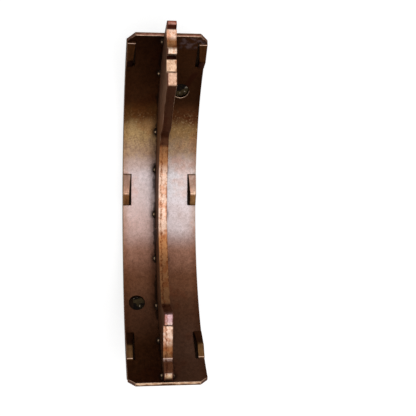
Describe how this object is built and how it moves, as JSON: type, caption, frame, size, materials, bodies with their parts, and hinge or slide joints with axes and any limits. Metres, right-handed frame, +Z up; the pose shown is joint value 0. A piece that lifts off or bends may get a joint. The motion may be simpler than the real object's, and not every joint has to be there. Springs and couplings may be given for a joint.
{
  "type": "brake shoe",
  "caption": "Bonded drum brake shoe: curved steel table, flat profiled web and a smooth friction lining.",
  "frame": {"origin": "middle of the underside of the shoe as it lies on its lining; the drum axis runs across the shoe 101.6 mm above it", "axes": "+X along the shoe towards the piston end, +Y across its width, +Z up, towards the drum axis"},
  "size_m": [0.1776, 0.04, 0.0749],
  "materials": {
    "coated_steel": "satin bronze-brown protective coating, bare on sheared edges",
    "lining": "moulded friction material, matt",
    "weld_steel": "dark flashed weld metal"
  },
  "bodies": {
    "root": {"shoe_table": "coated_steel", "shoe_web": "coated_steel", "friction_lining": "lining", "projection_welds": "weld_steel"}
  },
  "joints": []
}
